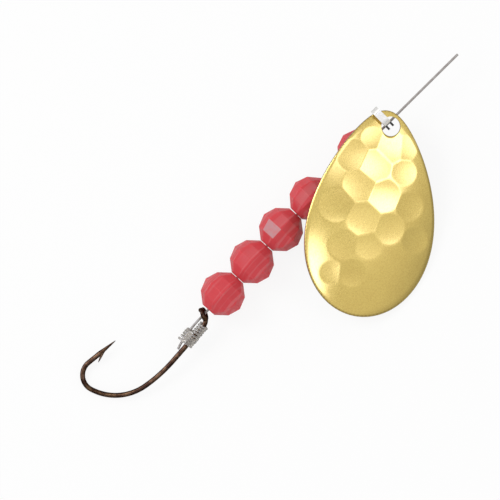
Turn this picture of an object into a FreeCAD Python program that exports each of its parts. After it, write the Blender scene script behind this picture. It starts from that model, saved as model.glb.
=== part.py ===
import FreeCAD, Part
import math
import os

# Snelled spinner rig: a dished spinner blade on a strap clevis, five faceted beads and a
# single hook, all on one monofilament leader. Millimetres, +Z up. The rig lies on a flat
# surface at z = 0, with the leader along +X towards its free end. All pieces are first laid
# out in the rig frame, whose x = 0 is at the hole of the blade and whose y = 0 is the line
# of the rear beads, and are then moved so that the origin is below the middle of the rig.

# Leader
LEADER_D = 0.33
LEADER_BEND_X = -18.0
LEADER_BEND_DEG = 3.3
LEADER_END_X = 12.9
ARC_SHARE = 0.45

# Beads
BEAD_D = 6.0
BEAD_SIDES = 8
BEAD_RING_D = 4.9
BEAD_RING_U = 1.6
BEAD_END_D = 2.1
BEAD_LENGTH = 5.54
BEAD_BORE_D = 1.2
BEAD_PITCH = 5.65
BEAD_PHASES = (12.0, 9.0, 12.0, 14.0, 10.0)
FRONT_BEAD_GAP = 3.2
LAST_STACKED_BEAD_X = -13.85

# Hook, laid out in its own plane: p runs back from the eye, q towards the side of the point
HOOK_WIRE_D = 0.66
HOOK_EYE_D = 1.96
HOOK_EYE_WIRE_D = 0.61
HOOK_EYE_TURN_DEG = 57.7
HOOK_EYE_GAP = 0.86
HOOK_NECK_R = 1.2
HOOK_NECK_DEG = 46.0
HOOK_SHANK_L = 6.06
HOOK_SHANK_DEG = 0.7
HOOK_THROAT_R = 20.7
HOOK_THROAT_DEG = 13.8
HOOK_BEND_R = 7.2
HOOK_BEND_DEG = 62.0
HOOK_CROWN_R = 2.06
HOOK_CROWN_DEG = 114.0
HOOK_LEG_L = 2.0
HOOK_POINT_L = 2.65
HOOK_POINT_TIP_D = 0.08
HOOK_BARB_AT = 0.65
HOOK_BARB_L = 1.75
HOOK_BARB_DEG = 27.0
HOOK_BARB_ROOT_D = 0.42

# Snell: the leader lies along the shank and is whipped round it
SNELL_TURNS = 10
SNELL_START = 0.05
SNELL_CLEARANCE = 0.02
SNELL_LIFT = 0.2
SNELL_LIFT_AT = 0.4
SNELL_STEP_AT = 0.15
SNELL_TAIL_L = 1.15
LEADER_IN_EYE_X = 0.05

# Blade, in its own frame: x across, y along towards the hole, z out of the domed face
BLADE_L = 27.1
BLADE_W = 15.8
BLADE_TAPER = -0.266
BLADE_SQUARE = -0.045
BLADE_T = 0.45
BLADE_CROSS_R = 26.0
BLADE_LONG_R = 55.0
BLADE_HOLE_D = 2.56
BLADE_HOLE_FROM_TIP = 1.97
BLADE_HOLE_ASIDE = 0.6
BLADE_POINTS = 32
BLADE_HEADING_DEG = 33.3
BLADE_PITCH_DEG = 4.0
BLADE_LEAN_DEG = 21.2
BLADE_HOLE_Y = -2.2

# Clevis, in its own frame: x along the leader, v out to the blade, u across
CLEVIS_T = 0.28
CLEVIS_W = 1.0
CLEVIS_EAR_D = 1.5
CLEVIS_EAR_BORE_D = 0.62
CLEVIS_AT_X = 0.05
CLEVIS_LEG_U = 0.22
CLEVIS_WINDOW_U = 2.1
CLEVIS_WINDOW_V = 1.9
CLEVIS_RISE = 0.1
CLEVIS_CORNER_R = 0.57

# How far a cutting shape runs past what it cuts
CUT_SPARE = 1.0

V = FreeCAD.Vector
UP = V(0, 0, 1)
LEADER_Z = BEAD_D / 2 * max(math.cos(math.radians(phase)) for phase in BEAD_PHASES)


def fillet_route(points, share):
    """Straight runs joined by tangent arcs, each as large as its two runs allow."""
    edges = []
    radii = []
    start = points[0]
    for before, corner, after in zip(points, points[1:], points[2:]):
        back = (before - corner).normalize()
        ahead = (after - corner).normalize()
        half_turn = (math.pi - back.getAngle(ahead)) / 2
        shorter = min((before - corner).Length, (after - corner).Length)
        cut = share * shorter
        radius = cut / math.tan(half_turn)
        first = corner + back * cut
        last = corner + ahead * cut
        inward = (back + ahead).normalize()
        middle = corner + inward * (radius / math.cos(half_turn) - radius)
        edges.append(Part.LineSegment(start, first).toShape())
        edges.append(Part.Arc(first, middle, last).toShape())
        radii.append(radius)
        start = last
    edges.append(Part.LineSegment(start, points[-1]).toShape())
    return Part.Wire(edges), radii


def tube_along(path, diameter):
    """Round tube swept along a wire that starts at its first vertex."""
    first = path.Edges[0]
    start = first.valueAt(first.FirstParameter)
    heading = first.tangentAt(first.FirstParameter)
    ring = Part.Wire([Part.makeCircle(diameter / 2, start, heading)])
    return path.makePipeShell([ring], True, False)


def single(shape):
    """The one solid that a boolean operation leaves in its compound."""
    return shape.Solids[0]


def placed(shape, origin, x_axis, z_axis):
    """Copy of a shape moved from the world frame into the frame given."""
    x = V(x_axis).normalize()
    z = V(z_axis).normalize()
    y = z.cross(x)
    frame = FreeCAD.Matrix(x.x, y.x, z.x, origin.x,
                           x.y, y.y, z.y, origin.y,
                           x.z, y.z, z.z, origin.z,
                           0, 0, 0, 1)
    copy = shape.copy()
    copy.transformShape(frame, True)
    return copy


# ---- the leader's line over the beads and through the clevis ----

def front_direction():
    """Direction of the leader ahead of its gentle bend."""
    turn = math.radians(LEADER_BEND_DEG)
    return V(math.cos(turn), -math.sin(turn), 0)


def on_front_line(x):
    """Point of the leader's front run at a given x."""
    heading = front_direction()
    return V(LEADER_BEND_X, 0, LEADER_Z) + heading * ((x - LEADER_BEND_X) / heading.x)


def bead_places():
    """Centre and axis of each bead, from the hook forward."""
    places = []
    for index in range(4):
        x = LAST_STACKED_BEAD_X - (3 - index) * BEAD_PITCH
        if x < LEADER_BEND_X:
            places.append((V(x, 0, LEADER_Z), V(1, 0, 0)))
        else:
            places.append((on_front_line(x), front_direction()))
    front_x = LAST_STACKED_BEAD_X + BEAD_LENGTH + FRONT_BEAD_GAP
    places.append((on_front_line(front_x), front_direction()))
    return places


# ---- hook ----

REAR_BEAD_END_X = LAST_STACKED_BEAD_X - 3 * BEAD_PITCH - BEAD_LENGTH / 2
EYE_AT = V(REAR_BEAD_END_X - HOOK_EYE_GAP, 0, LEADER_Z)


def hook_outline():
    """Centre line of the hook in its plane, and the point and heading at each join of it."""
    eye_r = (HOOK_EYE_D - HOOK_EYE_WIRE_D) / 2
    turn = math.radians(HOOK_EYE_TURN_DEG)
    at = V(eye_r * math.cos(turn), -eye_r * math.sin(turn), 0)
    heading = math.radians(HOOK_SHANK_DEG - HOOK_NECK_DEG)
    runs = (
        (HOOK_NECK_R * math.radians(HOOK_NECK_DEG), HOOK_NECK_DEG),
        (HOOK_SHANK_L, 0.0),
        (HOOK_THROAT_R * math.radians(HOOK_THROAT_DEG), HOOK_THROAT_DEG),
        (HOOK_BEND_R * math.radians(HOOK_BEND_DEG), HOOK_BEND_DEG),
        (HOOK_CROWN_R * math.radians(HOOK_CROWN_DEG), HOOK_CROWN_DEG),
        (HOOK_LEG_L, 0.0),
    )
    edges = []
    stations = [(at, heading)]
    for length, turn_deg in runs:
        turn = math.radians(turn_deg)
        if turn == 0.0:
            end = at + V(math.cos(heading), math.sin(heading), 0) * length
            edges.append(Part.LineSegment(at, end).toShape())
        else:
            radius = length / turn
            centre = at + V(-math.sin(heading), math.cos(heading), 0) * radius
            middle = centre + V(math.sin(heading + turn / 2), -math.cos(heading + turn / 2), 0) * radius
            end = centre + V(math.sin(heading + turn), -math.cos(heading + turn), 0) * radius
            edges.append(Part.Arc(at, middle, end).toShape())
        at = end
        heading += turn
        stations.append((at, heading))
    return Part.Wire(edges), stations


def hook_in_plane():
    """The hook in its own plane, with the middle of its eye at the origin."""
    wire_r = HOOK_WIRE_D / 2
    path, stations = hook_outline()
    body = tube_along(path, HOOK_WIRE_D)

    turn = math.radians(HOOK_EYE_TURN_DEG)
    across_eye = V(math.sin(turn), math.cos(turn), 0)
    eye_r = (HOOK_EYE_D - HOOK_EYE_WIRE_D) / 2
    eye = Part.makeTorus(eye_r, HOOK_EYE_WIRE_D / 2, V(0, 0, 0), across_eye)

    leg_end, heading = stations[-1]
    along = V(math.cos(heading), math.sin(heading), 0)
    inward = V(-along.y, along.x, 0)
    point = Part.makeCone(wire_r, HOOK_POINT_TIP_D / 2, HOOK_POINT_L, leg_end, along)

    root = leg_end + along * HOOK_BARB_AT
    lift = math.radians(HOOK_BARB_DEG)
    barb_heading = along * -math.cos(lift) + inward * math.sin(lift)
    barb = Part.makeCone(HOOK_BARB_ROOT_D / 2, HOOK_POINT_TIP_D / 2, HOOK_BARB_L, root, barb_heading)
    return single(body.fuse([eye, point, barb]).removeSplitter())


def hook_drop_deg():
    """Angle by which the hook hangs down from its eye until its bend lies on the surface."""
    reach = hook_in_plane().BoundBox.XMax - HOOK_WIRE_D / 2
    return math.degrees(math.asin((LEADER_Z - HOOK_WIRE_D / 2) / reach))


def hook_frame():
    """Origin, x axis and z axis that carry the hook's plane into the rig frame."""
    drop = math.radians(hook_drop_deg())
    x_axis = V(-math.cos(drop), 0, -math.sin(drop))
    y_axis = V(0, 1, 0)
    return EYE_AT, x_axis, x_axis.cross(y_axis)


def hook_point(p, q):
    """A point of the hook's plane in the rig frame."""
    origin, x_axis, z_axis = hook_frame()
    return origin + x_axis * p + z_axis.cross(x_axis) * q


def make_hook():
    """The hook where it hangs from the leader."""
    return placed(hook_in_plane(), *hook_frame())


# ---- snell ----

def shank_start():
    """Start of the straight shank and its heading, in the hook's plane."""
    stations = hook_outline()[1]
    return stations[1]


def beside_shank(distance, offset):
    """Point at a distance along the straight shank and an offset towards the hook's point."""
    at, heading = shank_start()
    along = V(math.cos(heading), math.sin(heading), 0)
    inward = V(-along.y, along.x, 0)
    return at + along * distance + inward * offset


def make_snell():
    """Close turns of line whipped round the shank, as one bead of line per turn."""
    line_r = LEADER_D / 2
    inner_r = HOOK_WIRE_D / 2 + SNELL_CLEARANCE
    edges = []
    for turn in range(SNELL_TURNS):
        left = V(turn * LEADER_D, inner_r + line_r, 0)
        crest = V((turn + 0.5) * LEADER_D, inner_r + LEADER_D, 0)
        right = V((turn + 1) * LEADER_D, inner_r + line_r, 0)
        edges.append(Part.Arc(left, crest, right).toShape())
    length = SNELL_TURNS * LEADER_D
    corners = (V(length, inner_r + line_r, 0), V(length, inner_r, 0), V(0, inner_r, 0), V(0, inner_r + line_r, 0))
    for one, other in zip(corners, corners[1:]):
        edges.append(Part.LineSegment(one, other).toShape())
    profile = Part.Face(Part.Wire(edges))
    whipping = profile.revolve(V(0, 0, 0), V(1, 0, 0), 360)
    start = beside_shank(SNELL_START, 0)
    ahead = beside_shank(SNELL_START + 1, 0)
    in_plane = placed(whipping, start, ahead - start, UP)
    return placed(in_plane, *hook_frame())


# ---- leader ----

def leader_points():
    """Route of the leader from the end of the snell to its free end."""
    beside = HOOK_WIRE_D / 2 + SNELL_CLEARANCE + LEADER_D * 1.5 + SNELL_CLEARANCE
    close = HOOK_WIRE_D / 2 + LEADER_D / 2 + SNELL_CLEARANCE
    snell_end = SNELL_START + SNELL_TURNS * LEADER_D
    local = (
        beside_shank(snell_end + SNELL_TAIL_L, close),
        beside_shank(snell_end + SNELL_STEP_AT, beside),
        beside_shank(SNELL_START + SNELL_LIFT_AT, beside + SNELL_LIFT),
    )
    points = [hook_point(place.x, place.y) for place in local]
    points.append(EYE_AT - V(LEADER_IN_EYE_X, 0, 0))
    points.append(V(LEADER_BEND_X, 0, LEADER_Z))
    points.append(on_front_line(LEADER_END_X))
    return points


def make_leader():
    """The leader, from the far end of the snell to its free end."""
    path, radii = fillet_route(leader_points(), ARC_SHARE)
    tube = tube_along(path, LEADER_D)
    expected = path.Length * math.pi * LEADER_D ** 2 / 4
    print("leader length %.2f, radii %s" % (path.Length, ", ".join("%.2f" % r for r in radii)))
    print("leader volume %.4f, section times length %.4f" % (tube.Volume, expected))
    return tube


# ---- beads ----

def polygon(diameter, along):
    """Corners of a regular polygon of the bead's sides, across the x axis."""
    step = 2 * math.pi / BEAD_SIDES
    return [V(along, -diameter / 2 * math.sin(step * i), diameter / 2 * math.cos(step * i))
            for i in range(BEAD_SIDES)]


def make_bead_blank():
    """Faceted bead along x: two rows of flats each side of the middle, with flat ends."""
    rings = (
        polygon(BEAD_END_D, -BEAD_LENGTH / 2),
        polygon(BEAD_RING_D, -BEAD_RING_U),
        polygon(BEAD_D, 0.0),
        polygon(BEAD_RING_D, BEAD_RING_U),
        polygon(BEAD_END_D, BEAD_LENGTH / 2),
    )
    faces = [Part.Face(Part.makePolygon(ring + ring[:1])) for ring in (rings[0], rings[-1])]
    for ring, following in zip(rings, rings[1:]):
        for i in range(BEAD_SIDES):
            j = (i + 1) % BEAD_SIDES
            faces.append(Part.Face(Part.makePolygon([ring[i], ring[j], following[j], following[i], ring[i]])))
    blank = Part.makeSolid(Part.makeShell(faces))
    if blank.Volume < 0:
        blank.reverse()
    bore_start = V(-BEAD_LENGTH / 2 - CUT_SPARE, 0, 0)
    bore = Part.makeCylinder(BEAD_BORE_D / 2, BEAD_LENGTH + 2 * CUT_SPARE, bore_start, V(1, 0, 0))
    return single(blank.cut(bore))


def make_beads():
    """The beads on the leader, each turned to its own phase."""
    blank = make_bead_blank()
    beads = []
    for (centre, axis), phase in zip(bead_places(), BEAD_PHASES):
        turned = blank.copy()
        turned.rotate(V(0, 0, 0), V(1, 0, 0), phase)
        beads.append(placed(turned, centre, axis, UP))
    return beads


# ---- blade ----

def blade_half_width(s):
    """Half width of the blade, with s running from 0 at the tip by the hole to pi at the far end."""
    shape = 1 + BLADE_TAPER * math.cos(s) + BLADE_SQUARE * math.cos(2 * s)
    return BLADE_W / 2 * math.sin(s) * shape


def blade_in_own_frame():
    """Dished blade, domed side up, with the top of its dome at the origin."""
    points = []
    for i in range(BLADE_POINTS):
        s = 2 * math.pi * i / BLADE_POINTS
        points.append(V(blade_half_width(s), BLADE_L / 2 * math.cos(s), -BLADE_L / 2))
    edge = Part.BSplineCurve()
    edge.interpolate(Points=points, PeriodicFlag=True)
    outline = Part.Face(Part.Wire([edge.toShape()]))
    prism = outline.extrude(V(0, 0, BLADE_L))

    reach = BLADE_W / 2 + CUT_SPARE
    dip = math.asin(reach / BLADE_CROSS_R)
    inner = BLADE_CROSS_R - BLADE_T
    centre = V(0, 0, -BLADE_CROSS_R)

    def rim(radius, angle):
        return centre + V(radius * math.sin(angle), 0, radius * math.cos(angle))

    section = Part.Face(Part.Wire([
        Part.Arc(rim(BLADE_CROSS_R, -dip), rim(BLADE_CROSS_R, 0), rim(BLADE_CROSS_R, dip)).toShape(),
        Part.LineSegment(rim(BLADE_CROSS_R, dip), rim(inner, dip)).toShape(),
        Part.Arc(rim(inner, dip), rim(inner, 0), rim(inner, -dip)).toShape(),
        Part.LineSegment(rim(inner, -dip), rim(BLADE_CROSS_R, -dip)).toShape(),
    ]))
    sweep = math.degrees(math.asin((BLADE_L / 2 + CUT_SPARE) / BLADE_LONG_R))
    pivot = V(0, 0, -BLADE_LONG_R)
    section.rotate(pivot, V(1, 0, 0), -sweep)
    shell = section.revolve(pivot, V(1, 0, 0), 2 * sweep)
    plate = single(shell.common(prism))
    normal = blade_normal_at_hole()
    drill_start = blade_hole_in_own_frame() - normal * CUT_SPARE
    drill = Part.makeCylinder(BLADE_HOLE_D / 2, 2 * CUT_SPARE, drill_start, normal)
    return single(plate.cut(drill))


def blade_hole_in_own_frame():
    """Middle of the hole, half way through the plate."""
    x = BLADE_HOLE_ASIDE
    y = BLADE_L / 2 - BLADE_HOLE_FROM_TIP
    cross = math.sqrt((BLADE_CROSS_R - BLADE_T / 2) ** 2 - x ** 2) - BLADE_CROSS_R
    return V(x, y, math.sqrt((BLADE_LONG_R + cross) ** 2 - y ** 2) - BLADE_LONG_R)


def blade_normal_at_hole():
    """Direction out of the domed face at the hole."""
    hole = blade_hole_in_own_frame()
    return V(hole.x * BLADE_LONG_R / BLADE_CROSS_R, hole.y, hole.z + BLADE_LONG_R).normalize()


def blade_turn():
    """Rotation from the blade's frame to the way it lies: heading, then pitch, then lean."""
    heading = FreeCAD.Rotation(V(0, 0, 1), BLADE_HEADING_DEG - 90)
    pitch = FreeCAD.Rotation(V(0, 1, 0), BLADE_PITCH_DEG)
    lean = FreeCAD.Rotation(V(1, 0, 0), BLADE_LEAN_DEG)
    return lean.multiply(pitch).multiply(heading)


def make_blade():
    """The blade as it lies, with its low edge on the surface, and the middle of its hole."""
    blade = blade_in_own_frame()
    blade.Placement = FreeCAD.Placement(V(0, 0, 0), blade_turn())
    hole = blade_turn().multVec(blade_hole_in_own_frame())
    bottom = blade.optimalBoundingBox(False).ZMin
    shift = V(-hole.x, BLADE_HOLE_Y - hole.y, -bottom)
    blade.translate(shift)
    return blade, hole + shift


# ---- clevis ----

def clevis_frame(hole):
    """Origin on the leader, x along the leader, z out to the blade; and the blade's height."""
    along = front_direction()
    normal = blade_turn().multVec(blade_normal_at_hole())
    out = (normal - along * normal.dot(along)).normalize()
    origin = on_front_line(CLEVIS_AT_X)
    across = out.cross(along)
    leg = origin + across * CLEVIS_LEG_U
    height = (hole - leg).dot(normal) / out.dot(normal)
    return origin, along, out, across, height


def make_clevis(hole):
    """Strap loop through the hole and round the rim of the blade, with two ears on the leader."""
    origin, along, out, across, height = clevis_frame(hole)
    window_bottom = height - CLEVIS_WINDOW_V / 2 + CLEVIS_RISE
    inner = (CLEVIS_LEG_U + CLEVIS_T / 2, window_bottom,
             CLEVIS_LEG_U + CLEVIS_T / 2 + CLEVIS_WINDOW_U, window_bottom + CLEVIS_WINDOW_V)
    outer = (inner[0] - CLEVIS_T, inner[1] - CLEVIS_T, inner[2] + CLEVIS_T, inner[3] + CLEVIS_T)

    def block(bounds, width, corner_r):
        box = Part.makeBox(width, bounds[2] - bounds[0], bounds[3] - bounds[1],
                           V(-width / 2, bounds[0], bounds[1]))
        corners = [edge for edge in box.Edges if edge.tangentAt(0).cross(V(1, 0, 0)).Length < 0.01]
        return box.makeFillet(corner_r, corners)

    shell = block(outer, CLEVIS_W, CLEVIS_CORNER_R + CLEVIS_T)
    loop = shell.cut(block(inner, CLEVIS_W + 2 * CUT_SPARE, CLEVIS_CORNER_R))

    ears = []
    for side in (-1, 1):
        x = side * (CLEVIS_W - CLEVIS_T) / 2 - CLEVIS_T / 2
        disc = Part.makeCylinder(CLEVIS_EAR_D / 2, CLEVIS_T, V(x, 0, 0), V(1, 0, 0))
        neck_top = outer[1] + CLEVIS_T / 2
        neck = Part.makePolygon([V(x, -CLEVIS_EAR_D / 2, 0), V(x, CLEVIS_EAR_D / 2, 0),
                                 V(x, outer[0] + CLEVIS_EAR_D, neck_top), V(x, outer[0] + CLEVIS_T, neck_top),
                                 V(x, -CLEVIS_EAR_D / 2, 0)])
        ears.append(disc)
        ears.append(Part.Face(neck).extrude(V(CLEVIS_T, 0, 0)))
    bore_start = V(-CLEVIS_W / 2 - CUT_SPARE, 0, 0)
    bore = Part.makeCylinder(CLEVIS_EAR_BORE_D / 2, CLEVIS_W + 2 * CUT_SPARE, bore_start, V(1, 0, 0))
    clevis = single(loop.fuse(ears).cut(bore).removeSplitter())
    return placed(clevis, origin, along, out)


def main():
    """Build every piece, move the rig over its origin and write one file for each piece."""
    os.makedirs("parts", exist_ok=True)
    blade, hole = make_blade()
    pieces = {"hook": make_hook(), "snell_wraps": make_snell()}
    for number, bead in enumerate(make_beads(), 1):
        pieces["bead_%d" % number] = bead
    pieces["clevis"] = make_clevis(hole)
    pieces["blade"] = blade

    box = Part.makeCompound(list(pieces.values())).optimalBoundingBox(False)
    shift = V(-(box.XMin + box.XMax) / 2, -(box.YMin + box.YMax) / 2, -box.ZMin)
    pieces["leader"] = make_leader()

    for name, shape in pieces.items():
        shape.translate(shift)
        shape.exportStep("parts/%s.step" % name)
        print("%-12s %s valid %s volume %.4f" % (name, shape.ShapeType, shape.isValid(), shape.Volume))
    origin, along, out, across, height = clevis_frame(hole)
    print("shift", shift, "box", box)
    print("pin", origin + across * CLEVIS_LEG_U + out * height + shift)
    print("hole", hole + shift, "clevis", origin + shift, "along", along, "out", out, "across", across)
    print("height", height, "hook drop", hook_drop_deg())


if __name__ == "__main__":
    main()
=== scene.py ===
"""Visual model of a snelled spinner rig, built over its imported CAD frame.

A dished, hammered blade hangs on a strap clevis from a nylon leader. Five faceted beads and
a single bronzed hook, whipped on with the leader's own line, make up the rest. Sizes are in
metres in the row frame: +X runs along the leader towards its free end and +Z is up.
"""
import logging
import math
from dataclasses import dataclass
from enum import Enum
from typing import Sequence

import bpy
import numpy as np
from mathutils import Matrix, Vector


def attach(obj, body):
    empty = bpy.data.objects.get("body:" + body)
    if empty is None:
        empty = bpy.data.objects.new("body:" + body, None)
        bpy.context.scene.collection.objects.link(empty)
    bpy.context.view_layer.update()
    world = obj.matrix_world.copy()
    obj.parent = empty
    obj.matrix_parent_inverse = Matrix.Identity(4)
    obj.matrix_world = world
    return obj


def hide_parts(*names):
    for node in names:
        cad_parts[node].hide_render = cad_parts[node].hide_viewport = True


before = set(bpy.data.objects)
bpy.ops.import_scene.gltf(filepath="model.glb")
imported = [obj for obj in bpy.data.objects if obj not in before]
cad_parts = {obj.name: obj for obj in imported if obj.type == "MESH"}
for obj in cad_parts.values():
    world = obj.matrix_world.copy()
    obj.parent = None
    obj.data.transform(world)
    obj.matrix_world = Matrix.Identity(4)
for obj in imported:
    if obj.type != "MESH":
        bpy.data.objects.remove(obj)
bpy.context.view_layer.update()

MM = 0.001
LOG = logging.getLogger("spinner_rig")

Point = tuple[float, float, float]


class Shading(Enum):
    """How the faces of a piece meet."""

    SMOOTH = "smooth"
    FACETED = "faceted"


class RigSlot(Enum):
    """The record's material slots of the pieces that are built here."""

    HOOK = "hook_wire"
    LINE = "line"
    BEADS = "beads"
    BLADE = "blade"


# ---------------------------------------------------------------- mesh tools


def quad_grid(rows: int, columns: int, start: int = 0, wrap: bool = True) -> np.ndarray:
    """Quads between the neighbouring rows of a grid of points.

    Args:
        rows: number of rows of points.
        columns: number of points in each row.
        start: index of the grid's first point.
        wrap: whether each row closes on itself.

    Returns:
        An (n, 4) array of point indices, in one turning sense.
    """
    count = columns if wrap else columns - 1
    i, j = np.meshgrid(np.arange(rows - 1), np.arange(count), indexing="ij")
    k = (j + 1) % columns
    quads = np.stack([i * columns + j, i * columns + k, (i + 1) * columns + k, (i + 1) * columns + j], -1)
    return quads.reshape(-1, 4) + start


def seam(rows: int, columns: int) -> np.ndarray:
    """Quads that join the last row of a wrapped grid of points to its first row.

    Args:
        rows: number of rows of points.
        columns: number of points in each row.

    Returns:
        An (n, 4) array of point indices, in the turning sense of quad_grid.
    """
    quads = quad_grid(2, columns)
    return np.where(quads >= columns, quads - columns, quads + (rows - 1) * columns)


def fan(ring_start: int, columns: int, pole: int, flip: bool) -> np.ndarray:
    """Triangles that close a ring of points on one pole.

    Args:
        ring_start: index of the ring's first point.
        columns: number of points in the ring.
        pole: index of the pole.
        flip: whether to turn the triangles over.

    Returns:
        An (n, 3) array of point indices.
    """
    j = np.arange(columns)
    k = (j + 1) % columns
    tris = np.stack([ring_start + j, ring_start + k, np.full(columns, pole)], -1)
    return tris[:, ::-1] if flip else tris


def make_piece(name: str, points: np.ndarray, faces: Sequence[np.ndarray], shading: Shading) -> bpy.types.Object:
    """Put points and faces into a new object at the origin, with its faces outwards.

    Args:
        name: name of the piece.
        points: (n, 3) array of places in metres.
        faces: arrays of point indices, one row to a face.
        shading: smooth or faceted.

    Returns:
        The new object, linked to the scene.
    """
    mesh = bpy.data.meshes.new(name)
    mesh.from_pydata(points.tolist(), [], [face for block in faces for face in block.tolist()])
    mesh.update()
    volume = signed_volume(mesh)
    if volume < 0:
        mesh.flip_normals()
    mesh.polygons.foreach_set("use_smooth", np.full(len(mesh.polygons), shading is Shading.SMOOTH))
    mesh.update()
    piece = bpy.data.objects.new(name, mesh)
    bpy.context.scene.collection.objects.link(piece)
    LOG.info("%s: %d points, %d faces, volume %.3f mm3", name, len(points), len(mesh.polygons), abs(volume) * 1e9)
    return piece


def signed_volume(mesh: bpy.types.Mesh) -> float:
    """Volume inside a closed mesh: a sixth of the sum of its triangles' triple products."""
    mesh.calc_loop_triangles()
    places = np.empty(len(mesh.vertices) * 3)
    mesh.vertices.foreach_get("co", places)
    corners = np.empty(len(mesh.loop_triangles) * 3, dtype=np.int32)
    mesh.loop_triangles.foreach_get("vertices", corners)
    a, b, c = places.reshape(-1, 3)[corners.reshape(-1, 3)].transpose(1, 0, 2)
    return float(np.einsum("ij,ij->", a, np.cross(b, c)) / 6)


def give_uv(piece: bpy.types.Object, u: np.ndarray, v: np.ndarray) -> None:
    """Give each corner of the mesh the two values that its point has.

    Args:
        piece: the object whose mesh gets the map.
        u: first value of each point.
        v: second value of each point.
    """
    layer = piece.data.uv_layers.new(name="surface")
    corners = np.empty(len(piece.data.loops), dtype=np.int32)
    piece.data.loops.foreach_get("vertex_index", corners)
    layer.data.foreach_set("uv", np.stack([u[corners], v[corners]], -1).ravel())


def unit(vectors: np.ndarray) -> np.ndarray:
    """Each vector divided by its own length."""
    return vectors / np.linalg.norm(vectors, axis=-1, keepdims=True)


def direction(heading: float) -> np.ndarray:
    """Unit vector of a plane at a heading."""
    return np.array([math.cos(heading), math.sin(heading)])


def sweep(name: str, line: np.ndarray, side: np.ndarray, radii: np.ndarray, sections: int) -> bpy.types.Object:
    """Round bar along a line: each point carries a circle square to the line.

    The surface is line(s) + r(s) (cos a side(s) + sin a (tangent(s) x side(s))), with s along
    the line and a once round it. Both ends are closed on a pole.

    Args:
        name: name of the piece.
        line: (n, 3) centre line.
        side: (n, 3) directions that are roughly square to the line.
        radii: (n,) radius at each point.
        sections: number of points round the bar.

    Returns:
        The new object, with u along the bar and v round it, in millimetres and turns.
    """
    tangent = unit(np.gradient(line, axis=0))
    side = unit(side - tangent * np.sum(side * tangent, -1, keepdims=True))
    other = np.cross(tangent, side)
    angle = np.linspace(0, 2 * np.pi, sections, endpoint=False)
    ring = np.cos(angle)[None, :, None] * side[:, None] + np.sin(angle)[None, :, None] * other[:, None]
    skin = line[:, None] + radii[:, None, None] * ring
    points = np.concatenate([skin.reshape(-1, 3), line[:1], line[-1:]])
    rows = len(line)
    faces = [quad_grid(rows, sections),
             fan(0, sections, rows * sections, True),
             fan((rows - 1) * sections, sections, rows * sections + 1, False)]
    piece = make_piece(name, points, faces, Shading.SMOOTH)
    run = np.concatenate([[0.0], np.cumsum(np.linalg.norm(np.diff(line, axis=0), axis=1))]) / MM
    u = np.concatenate([np.repeat(run, sections), run[:1], run[-1:]])
    v = np.concatenate([np.tile(angle / (2 * np.pi), rows), [0.5, 0.5]])
    give_uv(piece, u, v)
    return piece


# ---------------------------------------------------------------- finishes


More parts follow.
